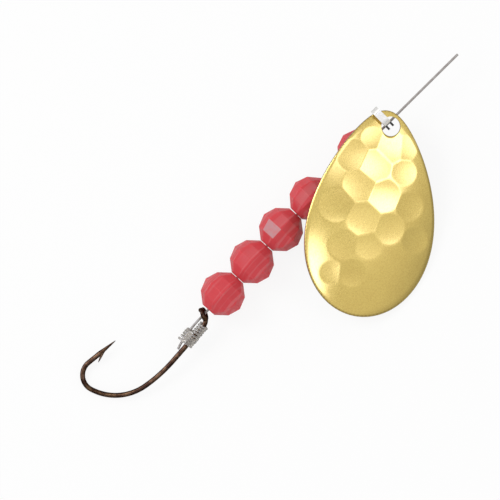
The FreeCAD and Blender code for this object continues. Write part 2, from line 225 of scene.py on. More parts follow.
@dataclass(frozen=True)
class Finish:
    """What every finish has: a name, a colour and a shader to set."""

    name: str
    colour: Point

    def start(self) -> tuple[bpy.types.Material, bpy.types.NodeTree, bpy.types.Node]:
        """New material with only its shader set to the colour.

        Returns:
            The material, its node tree and its shader.
        """
        material = bpy.data.materials.new(self.name)
        material.use_nodes = True
        tree = material.node_tree
        shader = tree.nodes["Principled BSDF"]
        shader.inputs["Base Color"].default_value = (*self.colour, 1)
        return material, tree, shader

    @staticmethod
    def place(tree: bpy.types.NodeTree, turn: Point = (0, 0, 0), stretch: Point = (1, 1, 1)) -> bpy.types.NodeSocket:
        """Place on the piece in millimetres, turned and stretched.

        Args:
            tree: node tree to add to.
            turn: angles about X, Y and Z, in radians.
            stretch: factors on top of the millimetre scale.

        Returns:
            The socket that carries the place.
        """
        source = tree.nodes.new("ShaderNodeTexCoord")
        mapping = tree.nodes.new("ShaderNodeMapping")
        mapping.vector_type = "TEXTURE"
        mapping.inputs["Rotation"].default_value = turn
        mapping.inputs["Scale"].default_value = tuple(MM / s for s in stretch)
        tree.links.new(source.outputs["Object"], mapping.inputs["Vector"])
        return mapping.outputs["Vector"]

    @staticmethod
    def noise(tree: bpy.types.NodeTree, place: bpy.types.NodeSocket, scale: float,
              detail: float = 3) -> bpy.types.NodeSocket:
        """Noise of the given scale, with values about a half."""
        node = tree.nodes.new("ShaderNodeTexNoise")
        node.inputs["Scale"].default_value = scale
        node.inputs["Detail"].default_value = detail
        tree.links.new(place, node.inputs["Vector"])
        return node.outputs["Fac"]

    @staticmethod
    def spread(tree: bpy.types.NodeTree, value: bpy.types.NodeSocket, low: float, high: float,
               to_low: float, to_high: float) -> bpy.types.NodeSocket:
        """Value carried from one span to another, and held at its ends."""
        node = tree.nodes.new("ShaderNodeMapRange")
        for socket, number in zip(("From Min", "From Max", "To Min", "To Max"), (low, high, to_low, to_high)):
            node.inputs[socket].default_value = number
        tree.links.new(value, node.inputs["Value"])
        return node.outputs["Result"]

    @staticmethod
    def maths(tree: bpy.types.NodeTree, operation: str, first: bpy.types.NodeSocket,
              second: bpy.types.NodeSocket | float = 0.0) -> bpy.types.NodeSocket:
        """One sum of two values, such as ADD, MULTIPLY or SINE."""
        node = tree.nodes.new("ShaderNodeMath")
        node.operation = operation
        tree.links.new(first, node.inputs[0])
        if isinstance(second, (int, float)):
            node.inputs[1].default_value = second
        else:
            tree.links.new(second, node.inputs[1])
        return node.outputs[0]

    @staticmethod
    def blend(tree: bpy.types.NodeTree, share: bpy.types.NodeSocket, first: Point | bpy.types.NodeSocket,
              second: Point) -> bpy.types.NodeSocket:
        """Colour between two, by a share from 0 to 1, on the mix node's colour sockets: 6 and 7 in, 2 out."""
        node = tree.nodes.new("ShaderNodeMix")
        node.data_type = "RGBA"
        tree.links.new(share, node.inputs["Factor"])
        if isinstance(first, tuple):
            node.inputs[6].default_value = (*first, 1)
        else:
            tree.links.new(first, node.inputs[6])
        node.inputs[7].default_value = (*second, 1)
        return node.outputs[2]

    @staticmethod
    def bump(tree: bpy.types.NodeTree, shader: bpy.types.Node, height: bpy.types.NodeSocket,
             depth_mm: float, strength: float = 1.0) -> None:
        """Raise the surface of the shader by a height from 0 to 1."""
        node = tree.nodes.new("ShaderNodeBump")
        node.inputs["Strength"].default_value = strength
        node.inputs["Distance"].default_value = depth_mm * MM
        tree.links.new(height, node.inputs["Height"])
        tree.links.new(node.outputs["Normal"], shader.inputs["Normal"])


@dataclass(frozen=True)
class HammeredGold(Finish):
    """Gold plate over hammered brass, with a fine brushed grain and ticks round its edge."""

    deep_colour: Point = (0.62, 0.40, 0.09)
    tick_pitch_mm: float = 0.52
    tick_reach_mm: float = 0.34
    tick_colour: Point = (0.40, 0.22, 0.04)
    tick_share: float = 0.55
    grain_turn: float = 0.0
    grain_height: float = 0.25
    fleck_height: float = 0.30
    lacquer: float = 0.7
    lacquer_roughness: float = 0.15

    def material(self) -> bpy.types.Material:
        """Material with plate colour that drifts, brushed grain and edge ticks."""
        material, tree, shader = self.start()
        link = tree.links.new
        shader.inputs["Metallic"].default_value = 1.0
        shader.inputs["Coat Weight"].default_value = self.lacquer
        shader.inputs["Coat Roughness"].default_value = self.lacquer_roughness
        broad = self.noise(tree, self.place(tree), 0.22, 2)
        grain = self.noise(tree, self.place(tree, (0, 0, self.grain_turn), (5.0, 0.5, 1.0)), 3.0, 4)
        fine = self.noise(tree, self.place(tree), 5.0, 2)

        uv = tree.nodes.new("ShaderNodeUVMap")
        uv.uv_map = "surface"
        split = tree.nodes.new("ShaderNodeSeparateXYZ")
        link(uv.outputs["UV"], split.inputs["Vector"])
        around = self.maths(tree, "MULTIPLY", split.outputs["X"], 2 * math.pi / self.tick_pitch_mm)
        wave = self.maths(tree, "SINE", around)
        near_edge = self.spread(tree, split.outputs["Y"], 0.0, self.tick_reach_mm, 1.0, 0.0)
        ticks = self.maths(tree, "MULTIPLY", self.spread(tree, wave, -0.3, 0.5, 0.0, 1.0), near_edge)

        plate = self.blend(tree, self.spread(tree, broad, 0.35, 0.65, 0.0, 0.2), self.colour, self.deep_colour)
        flecked = self.blend(tree, self.spread(tree, fine, 0.42, 0.68, 0.0, 0.32), plate, self.deep_colour)
        edged = self.blend(tree, self.maths(tree, "MULTIPLY", ticks, self.tick_share), flecked, self.tick_colour)
        link(edged, shader.inputs["Base Color"])
        link(self.spread(tree, grain, 0.3, 0.7, 0.12, 0.22), shader.inputs["Roughness"])
        speckle = self.maths(tree, "ADD", self.maths(tree, "MULTIPLY", grain, self.grain_height),
                             self.maths(tree, "MULTIPLY", fine, self.fleck_height))
        height = self.maths(tree, "SUBTRACT", speckle, ticks)
        self.bump(tree, shader, height, 0.04, 0.14)
        return material


@dataclass(frozen=True)
class ClearRed(Finish):
    """Clear red moulded plastic with polished facets, and pale streaks along the bore painted in for the bore seen
    through the plastic.
    """

    painted_bore_colour: Point = (0.66, 0.20, 0.21)
    painted_glint_colour: Point = (0.44, 0.27, 0.28)
    clearness: float = 0.06
    shine: float = 0.14
    glow: float = 0.4
    glow_colour: Point = (1.0, 0.12, 0.12)
    glow_reach: float = 1.4 * MM

    def material(self) -> bpy.types.Material:
        """Material with part of the light let through, and painted pale streaks that run with the bore, standing in for
        the bore seen through it.
        """
        material, tree, shader = self.start()
        shader.inputs["Transmission Weight"].default_value = self.clearness
        shader.inputs["IOR"].default_value = 1.49
        shader.inputs["Subsurface Weight"].default_value = self.glow
        shader.inputs["Subsurface Radius"].default_value = self.glow_colour
        shader.inputs["Subsurface Scale"].default_value = self.glow_reach
        shader.inputs["Specular IOR Level"].default_value = self.shine
        # painted light: pale streaks along the bore stand in for the bore seen through the clear plastic
        painted_bore_streaks = self.noise(tree, self.place(tree, (0, 0, 0), (0.02, 2.6, 0.4)), 1.0, 0)
        cloud = self.noise(tree, self.place(tree), 1.3, 2)
        tinted = self.blend(tree, self.spread(tree, painted_bore_streaks, 0.52, 0.68, 0.0, 0.5), self.colour, self.painted_bore_colour)
        tree.links.new(tinted, shader.inputs["Base Color"])
        tree.links.new(self.spread(tree, cloud, 0.3, 0.7, 0.12, 0.24), shader.inputs["Roughness"])
        self.bump(tree, shader, cloud, 0.03, 0.2)
        return material

    def painted_glint(self) -> bpy.types.Material:
        """Material of one facet with a painted reflection: paler and greyer where light glints off it, and rougher."""
        material, tree, shader = self.start()
        material.name = self.name + "_frosted"
        haze = self.noise(tree, self.place(tree), 2.2, 3)
        pale = self.blend(tree, self.spread(tree, haze, 0.3, 0.7, 0.5, 0.85), self.colour, self.painted_glint_colour)
        tree.links.new(pale, shader.inputs["Base Color"])
        tree.links.new(self.spread(tree, haze, 0.3, 0.7, 0.35, 0.5), shader.inputs["Roughness"])
        return material


@dataclass(frozen=True)
class BronzedWire(Finish):
    """Bronzed hook wire: dark brown lacquer with warmer worn places and drawing marks."""

    worn_colour: Point = (0.17, 0.098, 0.052)
    edge_colour: Point = (0.35, 0.24, 0.18)
    lacquer: float = 0.1
    lacquer_roughness: float = 0.12

    def material(self) -> bpy.types.Material:
        """Material with worn patches, drawing marks along the wire and a thin lacquer."""
        material, tree, shader = self.start()
        shader.inputs["Metallic"].default_value = 1.0
        shader.inputs["Specular Tint"].default_value = (*self.edge_colour, 1)
        shader.inputs["Coat Weight"].default_value = self.lacquer
        shader.inputs["Coat Roughness"].default_value = self.lacquer_roughness
        patches = self.noise(tree, self.place(tree), 1.1, 4)
        marks = self.noise(tree, self.place(tree), 7.0, 3)
        worn = self.blend(tree, self.spread(tree, patches, 0.42, 0.68, 0.0, 0.8), self.colour, self.worn_colour)
        tree.links.new(worn, shader.inputs["Base Color"])
        tree.links.new(self.spread(tree, marks, 0.3, 0.7, 0.16, 0.30), shader.inputs["Roughness"])
        self.bump(tree, shader, marks, 0.02, 0.3)
        return material


@dataclass(frozen=True)
class ClearNylon(Finish):
    """Clear nylon line, greyish where light goes through it."""

    clearness: float = 0.35
    sheen_colour: Point = (0.86, 0.86, 0.86)

    def material(self) -> bpy.types.Material:
        """Material that lets some light through, with faint cloudy lengths."""
        material, tree, shader = self.start()
        shader.inputs["Transmission Weight"].default_value = self.clearness
        shader.inputs["IOR"].default_value = 1.53
        cloud = self.noise(tree, self.place(tree), 1.6, 3)
        tinted = self.blend(tree, self.spread(tree, cloud, 0.4, 0.7, 0.0, 0.7), self.colour, self.sheen_colour)
        tree.links.new(tinted, shader.inputs["Base Color"])
        tree.links.new(self.spread(tree, cloud, 0.3, 0.7, 0.1, 0.25), shader.inputs["Roughness"])
        self.bump(tree, shader, cloud, 0.01, 0.3)
        return material


@dataclass(frozen=True)
class BrightNickel(Finish):
    """Bright nickel plate with faint tool marks from bending, and painted shade that makes it dark and dull below the
    blade.
    """

    toned_colour: Point = (0.66, 0.64, 0.61)
    painted_shade_colour: Point = (0.035, 0.033, 0.032)
    painted_shade_share: float = 0.92
    painted_shade_below_mm: float = 5.9
    unshaded_above_mm: float = 6.6

    def material(self) -> bpy.types.Material:
        """Material of polished plate above, with painted shade below the blade that darkens it and lowers its metallic
        share; its gloss drifts a little.
        """
        material, tree, shader = self.start()
        marks = self.noise(tree, self.place(tree), 4.0, 3)
        toned = self.blend(tree, self.spread(tree, marks, 0.4, 0.7, 0.0, 0.5), self.colour, self.toned_colour)
        # painted shade: plate below a height in millimetres, under the blade, is made dark and less metallic where the
        # blade shades it
        split = tree.nodes.new("ShaderNodeSeparateXYZ")
        tree.links.new(self.place(tree), split.inputs["Vector"])
        painted_shade = self.spread(tree, split.outputs["Z"], self.painted_shade_below_mm, self.unshaded_above_mm, self.painted_shade_share, 0.0)
        tree.links.new(self.blend(tree, painted_shade, toned, self.painted_shade_colour), shader.inputs["Base Color"])
        tree.links.new(self.spread(tree, painted_shade, 0.0, self.painted_shade_share, 0.35, 1.0), shader.inputs["Metallic"])
        tree.links.new(self.spread(tree, marks, 0.3, 0.7, 0.08, 0.24), shader.inputs["Roughness"])
        self.bump(tree, shader, marks, 0.03, 0.3)
        return material


def dress(piece: bpy.types.Object, material: bpy.types.Material) -> None:
    """Give a piece its material."""
    piece.data.materials.clear()
    piece.data.materials.append(material)


# ---------------------------------------------------------------- hook and snell


@dataclass
class Hook:
    """The hook's wire in its own plane: p runs back from the eye, q towards the point's side."""

    eye_at: Point = (-9.2627 * MM, 5.0255 * MM, 2.9631 * MM)
    drop: float = math.radians(8.4066)
    wire_d: float = 0.66 * MM
    eye_d: float = 1.96 * MM
    eye_wire_d: float = 0.61 * MM
    eye_turn: float = math.radians(57.7)
    neck: tuple[float, float] = (1.2 * MM, math.radians(46.0))
    shank_l: float = 6.06 * MM
    shank_heading: float = math.radians(0.7)
    throat: tuple[float, float] = (20.7 * MM, math.radians(13.8))
    bend: tuple[float, float] = (7.2 * MM, math.radians(62.0))
    crown: tuple[float, float] = (2.06 * MM, math.radians(114.0))
    leg_l: float = 2.0 * MM
    point_l: float = 2.65 * MM
    tip_d: float = 0.07 * MM
    barb_at: float = 0.65 * MM
    barb_l: float = 1.75 * MM
    barb_lift: float = math.radians(27.0)
    barb_root_d: float = 0.42 * MM
    eye_slip: float = 0.25 * MM
    eye_span: tuple[float, float] = (math.radians(-168), math.radians(176))
    slip_from: float = 2.2
    slip_over: float = 0.7
    near_share: float = 0.62
    near_power: float = 0.85
    barb_power: float = 0.7

    def to_rig(self, plane: np.ndarray) -> np.ndarray:
        """Carry (p, q, r) places of the hook's plane into the row frame.

        Args:
            plane: (n, 3) places, with r square to the plane.

        Returns:
            (n, 3) places in the row frame: eye + p back + q across + r up.
        """
        back = np.array([-math.cos(self.drop), 0.0, -math.sin(self.drop)])
        across = np.array([0.0, 1.0, 0.0])
        up = np.cross(back, across)
        return np.array(self.eye_at) + plane[:, :1] * back + plane[:, 1:2] * across + plane[:, 2:] * up

    def eye_radius(self) -> float:
        """Radius of the eye's own centre line."""
        return (self.eye_d - self.eye_wire_d) / 2

    def neck_start(self) -> np.ndarray:
        """Place where the neck leaves the eye."""
        return self.eye_radius() * direction(-self.eye_turn)

    def shank_start(self) -> np.ndarray:
        """Place where the straight shank starts, at the end of the neck's arc."""
        radius, turn = self.neck
        heading = self.shank_heading - turn
        return self.arc(self.neck_start(), heading, radius, turn, np.array([radius * turn]))[0]

    @staticmethod
    def arc(start: np.ndarray, heading: float, radius: float, turn: float, run: np.ndarray) -> np.ndarray:
        """Places at distances along an arc: the start turned about the centre by run / radius."""
        angle = heading + run / radius
        centre = start + radius * np.array([-math.sin(heading), math.cos(heading)])
        return centre + radius * np.stack([np.sin(angle), -np.cos(angle)], -1)

    def centre_line(self, step: float) -> tuple[np.ndarray, np.ndarray, np.ndarray, float]:
        """Centre line from the eye to the tip, as tangent arcs and straight runs.

        Args:
            step: distance between points.

        Returns:
            (n, 2) places, (n,) distances from the start, and the place and heading at the tip.
        """
        runs = [self.neck, (0.0, self.shank_l), self.throat, self.bend, self.crown, (0.0, self.leg_l + self.point_l)]
        at = self.neck_start()
        heading = self.shank_heading - self.neck[1]
        places, distances, travelled = [at[None]], [np.zeros(1)], 0.0
        for radius, extent in runs:
            length = radius * extent if radius else extent
            run = np.linspace(0, length, max(3, int(length / step)))[1:]
            if radius:
                block = self.arc(at, heading, radius, extent, run)
                heading += extent
            else:
                block = at + run[:, None] * direction(heading)
            places.append(block)
            distances.append(travelled + run)
            travelled += length
            at = block[-1]
        return np.concatenate(places), np.concatenate(distances), at, heading

    def build(self, finish: BronzedWire) -> bpy.types.Object:
        """Wire with a ring eye, a ground point that narrows hollow, and a lifted barb.

        Args:
            finish: the finish of the wire.

        Returns:
            The hook's wire; its eye and its barb are closed bars of their own on the same body.
        """
        places, distances, tip, heading = self.centre_line(0.12 * MM)
        left = np.clip((distances[-1] - distances) / self.point_l, 0, 1)
        near = np.clip(left / self.near_share, 0, 1) ** self.near_power
        far = np.clip((left - self.near_share) / (1 - self.near_share), 0, 1)
        growth = self.near_share * near + (1 - self.near_share) * far
        radii = self.tip_d / 2 + (self.wire_d - self.tip_d) / 2 * growth
        line = self.to_rig(np.column_stack([places, np.zeros(len(places))]))
        up = self.to_rig(np.array([[0, 0, 1.0], [0, 0, 0.0]]))
        normal = unit(up[:1] - up[1:])
        wire = sweep("hook_wire", line, np.repeat(normal, len(line), 0), radii, 24)

        angle = np.linspace(*self.eye_span, 90)
        out = np.array([math.cos(self.eye_turn), -math.sin(self.eye_turn), 0.0])
        flat = self.eye_radius() * (np.cos(angle)[:, None] * out + np.sin(angle)[:, None] * np.array([0, 0, 1.0]))
        square = np.array([math.sin(self.eye_turn), math.cos(self.eye_turn), 0.0])
        slip = np.clip((-angle - self.slip_from) / self.slip_over, 0, 1)[:, None] * self.eye_slip * square
        ring = self.to_rig(flat + slip)
        sides = self.to_rig(flat * 2) - self.to_rig(flat)
        eye = sweep("hook_eye", ring, sides, np.full(len(ring), self.eye_wire_d / 2), 20)

        along = direction(heading)
        leg = tip - self.point_l * along
        inward = np.array([-along[1], along[0]])
        rows = 24
        share = np.linspace(0, 1, rows)[:, None]
        lifted = -along * math.cos(self.barb_lift) + inward * math.sin(self.barb_lift)
        spine = leg + along * self.barb_at + lifted * self.barb_l * share
        thin = self.barb_root_d / 2 * (1 - share[:, 0]) ** self.barb_power + self.tip_d / 3
        barb_line = self.to_rig(np.column_stack([spine, np.zeros(rows)]))
        barb = sweep("hook_barb", barb_line, np.repeat(normal, rows, 0), thin, 16)

        material = finish.material()
        for piece in (wire, eye, barb):
            dress(piece, material)
            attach(piece, "rig")
        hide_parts("hook")
        return wire


@dataclass
class Snell:
    """The whipping: the leader's own line wound round the hook's shank."""

    hook: Hook
    line_d: float = 0.33 * MM
    turns: float = 9.0
    start: float = -0.30 * MM
    length: float = 3.75 * MM
    lay: float = 0.02 * MM
    slack: float = 0.42 * MM
    slack_to_line: float = 0.40 * MM
    opens_at: float = 0.46
    opens_over: float = 0.10
    bunching: float = 1.06
    unevenness: float = 0.02 * MM
    slant_tight: float = 0.03 * MM
    slant_open: float = 0.12 * MM

    def centre_line(self) -> np.ndarray:
        """Helix round the shank, tight at the eye and looser at its far end.

        At turn t of N the line stands at start + length (t / N)^bunching along the shank, at
        the shank's and the line's radii plus an uneven lift. The last turns open out by
        slack + slack_to_line cos a, so that they go round the leader beside the shank as well.

        Returns:
            (n, 3) places in the row frame.
        """
        turn = np.linspace(0, self.turns, int(self.turns * 30))
        share = turn / self.turns
        angle = 2 * np.pi * turn
        open_out = np.clip((share - self.opens_at) / self.opens_over, 0, 1)
        open_out = open_out ** 2 * (3 - 2 * open_out)
        lift = self.unevenness * (1 + np.sin(turn * 2.3)) + open_out * (self.slack + self.slack_to_line * np.cos(angle))
        radius = self.hook.wire_d / 2 + self.line_d / 2 + self.lay + lift
        run = self.start + self.line_d / 2 + (self.length - self.line_d) * share ** self.bunching
        slant = (self.slant_tight + self.slant_open * open_out) * np.sin(angle + turn * 0.7)
        at = self.hook.shank_start()
        along = direction(self.hook.shank_heading)
        inward = np.array([-along[1], along[0]])
        plane = at + (run + slant)[:, None] * along + (radius * np.cos(angle))[:, None] * inward
        return self.hook.to_rig(np.column_stack([plane, radius * np.sin(angle)]))

    def build(self, finish: ClearNylon) -> bpy.types.Object:
        """Wound line as one bar along the helix."""
        line = self.centre_line()
        at = self.hook.shank_start()
        ahead = at + direction(self.hook.shank_heading)
        axis = self.hook.to_rig(np.array([[*at, 0.0], [*ahead, 0.0]]))
        heading = unit(axis[1] - axis[0])
        rise = (line - axis[0]) @ heading
        outward = line - (axis[0] + rise[:, None] * heading)
        piece = sweep("snell_whipping", line, outward, np.full(len(line), self.line_d / 2), 12)
        dress(piece, finish.material())
        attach(piece, "rig")
        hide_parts("snell_wraps")
        return piece


# ---------------------------------------------------------------- leader


@dataclass
class Leader:
    """The leader, from the far end of the whipping, through the eye and beads, to its cut end."""

    line_d: float = 0.33 * MM
    length: float = 53.1 * MM
    route: tuple[Point, ...] = (
        (-0.014923, 0.004669, 0.002127),
        (-0.013930, 0.005007, 0.002273),
        (-0.010910, 0.005170, 0.002720),
        (-0.009313, 0.005026, 0.002963),
        (0.007167, 0.005026, 0.002963),
        (0.038067, 0.003244, 0.002963),
    )

    def build(self, finish: ClearNylon, on_it: list[bpy.types.Object]) -> bpy.types.Object:
        """Smooth spline with the route's points as its control points.

        Args:
            finish: the finish of the line.
            on_it: pieces that are wound on it; not used.

        Returns:
            The leader's curve.
        """
        curve = bpy.data.curves.new("leader_line", "CURVE")
        curve.dimensions = "3D"
        curve.bevel_depth = self.line_d / 2
        curve.bevel_resolution = 4
        curve.resolution_u = 24
        curve.use_fill_caps = True
        spline = curve.splines.new("NURBS")
        spline.points.add(len(self.route) - 1)
        spline.points.foreach_set("co", np.column_stack([np.array(self.route), np.ones(len(self.route))]).ravel())
        spline.order_u = 3
        spline.use_endpoint_u = True
        piece = bpy.data.objects.new("leader_line", curve)
        bpy.context.scene.collection.objects.link(piece)
        dress(piece, finish.material())
        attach(piece, "rig")
        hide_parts("leader")
        LOG.info("leader_line: %d control points", len(self.route))
        return piece


# ---------------------------------------------------------------- beads


@dataclass
class Bead:
    """One faceted bead, with its centre, axis and turn on the leader."""

    number: int
    centre: Point
    heading: float
    phase: float
    across: float = 6.0 * MM
    sides: int = 8
    ring_d: float = 4.9 * MM
    ring_at: float = 1.6 * MM
    end_d: float = 2.1 * MM
    length: float = 5.58 * MM
    bore_d: float = 1.2 * MM
    edge_round: float = 0.04 * MM
    edge_angle: float = math.radians(12)

    def facet(self, ring: int, side: int) -> int:
        """Index of the facet ahead of a ring, on one side of the bead."""
        return ring * self.sides + side % self.sides

    def build(self, material: bpy.types.Material) -> bpy.types.Object:
        """Eight-sided rings joined by flats, with a bore, and edges broken by a fine round.

        Ring k is a regular polygon of its own size at its own place along the axis; the last
        rings are the bore's mouths, so the skin closes on itself through the bore.

        Args:
            material: the beads' material.

        Returns:
            The bead.
        """
        half = self.length / 2
        outer = [(-half, self.end_d), (-self.ring_at, self.ring_d), (0.0, self.across), (self.ring_at, self.ring_d),
                 (half, self.end_d)]
        profile = np.array(outer + [(half, self.bore_d), (-half, self.bore_d)])
        angle = 2 * np.pi * np.arange(self.sides) / self.sides + self.phase
        x = np.repeat(profile[:, :1], self.sides, 1)
        y = -profile[:, 1:] / 2 * np.sin(angle)[None]
        z = profile[:, 1:] / 2 * np.cos(angle)[None]
        own = np.stack([x, y, z], -1).reshape(-1, 3)
        turn = np.array([[math.cos(self.heading), -math.sin(self.heading), 0],
                         [math.sin(self.heading), math.cos(self.heading), 0], [0, 0, 1]])
        points = own @ turn.T + np.array(self.centre)
        rows = len(profile)
        faces = [quad_grid(rows, self.sides), seam(rows, self.sides)]
        piece = make_piece(f"bead_{self.number}_body", points, faces, Shading.FACETED)
        rounded = piece.modifiers.new("broken_edges", "BEVEL")
        rounded.width = self.edge_round
        rounded.segments = 2
        rounded.limit_method = "ANGLE"
        rounded.angle_limit = self.edge_angle
        dress(piece, material)
        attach(piece, f"bead_{self.number}")
        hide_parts(f"bead_{self.number}")
        return piece


@dataclass
class BeadRow:
    """The five beads on the leader."""

    axis_z: float = 2.9631 * MM
    rear_y: float = 5.0255 * MM
    front_turn: float = math.radians(-3.3)

    def build(self, finish: ClearRed) -> list[bpy.types.Object]:
        """All five beads in one finish.

        Args:
            finish: the finish of the beads.

        Returns:
            The beads, from the hook forward.
        """
        places = ((-5.6327, 0.0, 0.0, 12.0), (0.0173, 0.0, 0.0, 9.0), (5.6673, 0.0, 0.0, 12.0),
                  (11.3173, -0.2393, self.front_turn, 14.0), (20.0573, -0.7432, self.front_turn, 10.0))
        material = finish.material()
        row = [Bead(number, (x * MM, self.rear_y + y * MM, self.axis_z), heading, math.radians(phase))
               for number, (x, y, heading, phase) in enumerate(places, 1)]
        beads = [bead.build(material) for bead in row]
        # painted reflection: one facet of the third bead gets a paler, greyer colour standing in for light glinting off
        # it
        glint_bead_mesh = beads[2].data
        glint_bead_mesh.materials.append(finish.painted_glint())
        glint_bead_mesh.polygons[row[2].facet(1, -1)].material_index = 1
        return beads


# ---------------------------------------------------------------- blade and clevis


@dataclass
class Blade:
    """The dished blade. Its own frame: x across, y towards the hole, z out of the domed face."""

    hole_at: Point = (25.1673 * MM, 2.8255 * MM, 5.7952 * MM)
    length: float = 27.1 * MM
    width: float = 15.8 * MM
    taper: float = -0.266
    square: float = -0.045
    thick: float = 0.45 * MM
    cross_r: float = 26.0 * MM
    long_r: float = 55.0 * MM
    hole_d: float = 2.56 * MM
    hole_from_tip: float = 1.97 * MM
    hole_aside: float = 0.6 * MM
    heading: float = math.radians(33.3 - 90)
    pitch: float = math.radians(4.0)
    lean: float = math.radians(21.2)
    cup_r: float = 17.0 * MM
    roll_width: float = 1.1 * MM
    roll_drop: float = 0.07 * MM
    ridge_round: float = 0.006 * MM
    edge_round: float = 0.07 * MM
    under_share: float = 0.5
    end_crowding: float = 0.42
    rim_crowding: float = 0.9
    dimples_mm: tuple[tuple[float, float, float], ...] = (
        (1.0, 8.9, 2.1), (2.8, 9.0, 1.7), (-0.9, 6.2, 2.3), (3.1, 5.9, 1.75), (-3.8, 7.1, 2.2), (-2.5, 3.5, 2.3),
        (0.9, 2.6, 2.2), (4.5, 1.6, 1.9), (-5.1, 0.4, 2.3), (-1.4, -0.9, 2.3), (2.2, -1.7, 2.1), (5.9, -2.6, 1.8),
        (-0.2, -4.1, 1.9), (-3.4, -4.5, 2.0), (-1.7, -8.1, 1.8), (-4.3, -8.3, 1.6), (-1.6, 9.6, 1.6),
    )

    def turn(self) -> np.ndarray:
        """Rotation from the blade's frame to the way it lies: heading, pitch, then lean."""
        lean, pitch = Matrix.Rotation(self.lean, 3, "X"), Matrix.Rotation(self.pitch, 3, "Y")
        return np.array(lean @ pitch @ Matrix.Rotation(self.heading, 3, "Z"))

    def outline(self, s: np.ndarray) -> np.ndarray:
        """Egg outline: y = L/2 cos s, x = W/2 sin s (1 + taper cos s + square cos 2s)."""
        shape = 1 + self.taper * np.cos(s) + self.square * np.cos(2 * s)
        return np.stack([self.width / 2 * np.sin(s) * shape, self.length / 2 * np.cos(s)], -1)

    def hole_centre(self) -> np.ndarray:
        """Middle of the hole in the plan of the blade."""
        return np.array([self.hole_aside, self.length / 2 - self.hole_from_tip])

    def dome(self, plan: np.ndarray, inset: float) -> np.ndarray:
        """Height of a doubly curved sheet: an arc across, carried along a larger arc.

        Args:
            plan: (..., 2) places in the plan.
            inset: how far the sheet lies under the outer face.

        Returns:
            Heights under the top of the dome.
        """
        cross = np.sqrt((self.cross_r - inset) ** 2 - plan[..., 0] ** 2) - self.cross_r
        return np.sqrt((self.long_r + cross) ** 2 - plan[..., 1] ** 2) - self.long_r

    def hammering(self, plan: np.ndarray) -> np.ndarray:
        """Depth of the hammered cups: the deepest of (r^2 - gap^2) / (2 cup_r) over all cups, and 0.

        The largest of these is taken softly, as k log(1 + sum exp(depth / k)), so ridges are round.

        Args:
            plan: (..., 2) places in the plan.

        Returns:
            Depths under the dome, 0 between the cups.
        """
        cups = np.array(self.dimples_mm) * MM
        gap = np.linalg.norm(plan[..., None, :] - cups[:, :2], axis=-1)
        depth = (cups[:, 2] ** 2 - gap ** 2) / (2 * self.cup_r)
        return self.ridge_round * np.log1p(np.exp(depth / self.ridge_round).sum(-1))

    def build(self, finish: HammeredGold) -> bpy.types.Object:
        """Plate whose rows run from the hole's wall to the rim, above and then below.

        A point of the plan is hole + t (outline - hole), with t from the hole's wall to the rim
        and the outline taken once round; the height is the dome's, less the hammering and the
        rim's slight roll.

        Args:
            finish: the finish of the blade.

        Returns:
            The blade.
        """
        columns, top_rows, low_rows = 480, 120, 40
        s = np.linspace(0, 2 * np.pi, columns, endpoint=False)
        s = s - self.end_crowding * np.sin(s)
        rim = self.outline(s)
        hole = self.hole_centre()
        spoke = rim - hole
        reach = np.linalg.norm(spoke, axis=-1)
        wall = hole + spoke / reach[:, None] * self.hole_d / 2

        def sheet(rows: int, inset: float, depth_share: float) -> tuple[np.ndarray, np.ndarray]:
            """Points of one face, and how far each lies from the rim in millimetres."""
            t = np.linspace(0, 1, rows) ** self.rim_crowding
            plan = wall[None] + t[:, None, None] * (rim - wall)[None]
            from_rim = (1 - t)[:, None] * np.linalg.norm(rim - wall, axis=-1)[None]
            edge = np.clip(1 - from_rim / (2 * self.edge_round), 0, 1) ** 2 * self.edge_round
            roll = self.roll_drop * np.clip(1 - from_rim / self.roll_width, 0, 1) ** 2
            height = self.dome(plan, inset) - self.hammering(plan) * depth_share - roll
            height = height + (edge if inset else -edge)
            return np.concatenate([plan, height[..., None]], -1), from_rim / MM

        top, top_gap = sheet(top_rows, 0.0, 1.0)
        low, low_gap = sheet(low_rows, self.thick, self.under_share)
        own = np.concatenate([top, low[::-1]]).reshape(-1, 3)
        centre = np.array([*hole, float(self.dome(hole[None], self.thick / 2)[0])])
        points = (own - centre) @ self.turn().T + np.array(self.hole_at)
        rows = top_rows + low_rows
        faces = [quad_grid(rows, columns), seam(rows, columns)]
        piece = make_piece("blade_plate", points, faces, Shading.SMOOTH)
        around = np.concatenate([[0.0], np.cumsum(np.linalg.norm(np.diff(rim, axis=0), axis=1))]) / MM
        give_uv(piece, np.tile(around, rows), np.concatenate([top_gap, low_gap[::-1]]).ravel())
        dress(piece, finish.material())
        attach(piece, "blade")
        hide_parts("blade")
        return piece


@dataclass
class Clevis:
    """The strap clevis, whose CAD shape is kept."""

    def build(self, finish: BrightNickel) -> bpy.types.Object:
        """Plated strap, dressed on the CAD node itself."""
        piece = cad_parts["clevis"]
        material = finish.material()
        piece.data.materials.clear()
        piece.data.materials.append(material)
        LOG.info("clevis: %d faces", len(piece.data.polygons))
        return piece


# ---------------------------------------------------------------- stage


